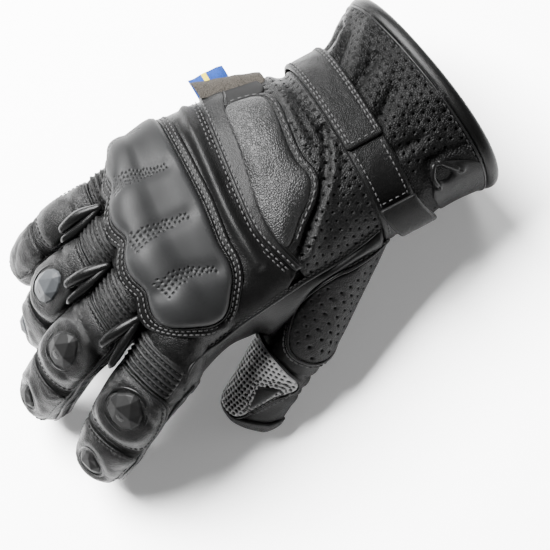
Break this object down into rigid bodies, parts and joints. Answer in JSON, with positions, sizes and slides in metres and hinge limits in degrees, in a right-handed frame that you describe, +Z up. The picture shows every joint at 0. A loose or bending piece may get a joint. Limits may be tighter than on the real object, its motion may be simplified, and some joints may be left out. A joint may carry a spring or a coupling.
{
  "type": "riding glove",
  "caption": "Right-hand short-cuff leather riding glove with a moulded knuckle guard, stretch panels, finger armour, wrist strap and a perforated cuff.",
  "frame": {"origin": "centre of the glove's footprint on the surface it lies on", "axes": "+Z up, +Y towards the fingertips, +X towards the little finger; palm down"},
  "size_m": [0.1378, 0.229, 0.0894],
  "materials": {
    "smooth_leather": "soft satin leather",
    "grained_leather": "pebble-grained leather with a sheen",
    "palm_leather": "matte leather",
    "perforated_leather": "perforated leather",
    "strap_leather": "smooth leather, edge stitched",
    "finger_leather": "creased leather",
    "ridge_leather": "glossy folded leather",
    "lining": "knit lining",
    "guard_shell": "smooth matte grey",
    "foam": "closed-cell foam",
    "label": "woven tape with plain colour bands",
    "mesh_fabric": "knurled mesh fabric",
    "loop_pile": "loop pile",
    "hook_tape": "hook tape",
    "stretch_panel": "pleated stretch panel",
    "armour": "dark polished bevel",
    "armour_grey": "light grey-green bevel"
  },
  "bodies": {
    "hand": {"back_panel": "smooth_leather", "palm_panel": "smooth_leather", "hand_lining": "lining", "knuckle_guard": "guard_shell", "knuckle_foam": "foam", "guard_border": "grained_leather", "back_pad": "grained_leather", "backhand_strip": "grained_leather", "palm_patch": "palm_leather", "thumb_side_panel": "smooth_leather", "side_label": "label", "ridge_index_middle": "ridge_leather", "ridge_middle_ring": "ridge_leather", "ridge_ring_little": "ridge_leather", "thumb_saddle": "smooth_leather", "thumb_heel_insert": "perforated_leather", "thumb_base_crease": "stretch_panel", "wrist_panel": "perforated_leather", "index_stretch_panel": "stretch_panel", "middle_stretch_panel": "stretch_panel", "ring_stretch_panel": "stretch_panel", "little_stretch_panel": "stretch_panel"},
    "cuff": {"cuff_shell": "perforated_leather", "cuff_lining": "lining", "cuff_binding": "strap_leather", "cuff_gusset": "smooth_leather", "strap_anchor": "strap_leather", "strap_landing": "strap_leather", "strap_loop_patch": "loop_pile", "strap_tail": "strap_leather"},
    "strap": {"wrist_strap": "strap_leather", "strap_hook_patch": "hook_tape"},
    "index_base": {"index_sleeve": "finger_leather", "index_back_pad": "grained_leather", "index_flex_seam": "stretch_panel", "index_armour": "armour"},
    "index_tip": {"index_tip_sleeve": "finger_leather", "index_tip_armour": "armour"},
    "middle_base": {"middle_sleeve": "finger_leather", "middle_back_pad": "grained_leather", "middle_flex_seam": "stretch_panel", "middle_armour": "armour"},
    "middle_tip": {"middle_tip_sleeve": "finger_leather", "middle_tip_armour": "armour"},
    "ring_base": {"ring_sleeve": "finger_leather", "ring_back_pad": "grained_leather", "ring_flex_seam": "stretch_panel", "ring_armour": "armour_grey"},
    "ring_tip": {"ring_tip_sleeve": "finger_leather", "ring_tip_armour": "armour"},
    "little_base": {"little_sleeve": "finger_leather", "little_back_pad": "grained_leather", "little_flex_seam": "stretch_panel"},
    "little_tip": {"little_tip_sleeve": "finger_leather"},
    "thumb_base": {"thumb_sleeve": "smooth_leather", "thumb_mesh_panel": "mesh_fabric", "thumb_tip_crease": "stretch_panel"},
    "thumb_tip": {"thumb_tip_sleeve": "smooth_leather", "thumb_tip_patch": "palm_leather"}
  },
  "joints": [
    {"name": "wrist_flex", "type": "hinge", "parent": "hand", "child": "cuff", "pos_m": [0.00724, -0.04949, 0.04757], "axis": [1, 0, 0], "range_deg": [-20, 20], "stiffness_Nm_per_rad": 3, "deforming": ["wrist_panel"]},
    {"name": "strap_flap", "type": "hinge", "parent": "cuff", "child": "strap", "pos_m": [0.05423, -0.06412, 0.03945], "axis": [0, 0.9781, 0.2079], "range_deg": [0, 95], "stiffness_Nm_per_rad": 0.3},
    {"name": "index_knuckle", "type": "hinge", "parent": "hand", "child": "index_base", "pos_m": [-0.02957, 0.03268, 0.06503], "axis": [-0.9744, -0.22, -0.0468], "range_deg": [-30, 35], "stiffness_Nm_per_rad": 1.2, "deforming": ["index_stretch_panel", "ridge_index_middle"]},
    {"name": "index_middle", "type": "hinge", "parent": "index_base", "child": "index_tip", "pos_m": [-0.03894, 0.07995, 0.03797], "axis": [-0.9744, -0.22, -0.0468], "range_deg": [-25, 35], "stiffness_Nm_per_rad": 1, "deforming": ["index_flex_seam"]},
    {"name": "middle_knuckle", "type": "hinge", "parent": "hand", "child": "middle_base", "pos_m": [-0.00556, 0.03576, 0.06978], "axis": [-0.9994, 0.0341, 0.0073], "range_deg": [-30, 35], "stiffness_Nm_per_rad": 1.2, "deforming": ["middle_stretch_panel", "ridge_middle_ring"]},
    {"name": "middle_middle", "type": "hinge", "parent": "middle_base", "child": "middle_tip", "pos_m": [-0.00398, 0.08856, 0.03927], "axis": [-0.9994, 0.0341, 0.0073], "range_deg": [-25, 35], "stiffness_Nm_per_rad": 1, "deforming": ["middle_flex_seam"]},
    {"name": "ring_knuckle", "type": "hinge", "parent": "hand", "child": "ring_base", "pos_m": [0.01843, 0.03087, 0.06874], "axis": [-0.9945, 0.1022, 0.0217], "range_deg": [-30, 35], "stiffness_Nm_per_rad": 1.2, "deforming": ["ring_stretch_panel", "ridge_ring_little"]},
    {"name": "ring_middle", "type": "hinge", "parent": "ring_base", "child": "ring_tip", "pos_m": [0.02266, 0.07838, 0.03846], "axis": [-0.9945, 0.1022, 0.0217], "range_deg": [-25, 35], "stiffness_Nm_per_rad": 1, "deforming": ["ring_flex_seam"]},
    {"name": "little_knuckle", "type": "hinge", "parent": "hand", "child": "little_base", "pos_m": [0.03993, 0.02177, 0.05862], "axis": [-0.9903, 0.1361, 0.0289], "range_deg": [-30, 35], "stiffness_Nm_per_rad": 1.2, "deforming": ["little_stretch_panel"]},
    {"name": "little_middle", "type": "hinge", "parent": "little_base", "child": "little_tip", "pos_m": [0.04543, 0.06449, 0.04575], "axis": [-0.9903, 0.1361, 0.0289], "range_deg": [-25, 35], "stiffness_Nm_per_rad": 1, "deforming": ["little_flex_seam"]},
    {"name": "thumb_knuckle", "type": "hinge", "parent": "hand", "child": "thumb_base", "pos_m": [-0.04557, -0.00573, 0.02926], "axis": [-0.4494, -0.5556, -0.6995], "range_deg": [-20, 20], "stiffness_Nm_per_rad": 1.2, "deforming": ["thumb_base_crease"]},
    {"name": "thumb_middle", "type": "hinge", "parent": "thumb_base", "child": "thumb_tip", "pos_m": [-0.05457, 0.01716, 0.01777], "axis": [-0.4299, -0.584, -0.6886], "range_deg": [-20, 25], "stiffness_Nm_per_rad": 1, "deforming": ["thumb_tip_crease"]}
  ]
}
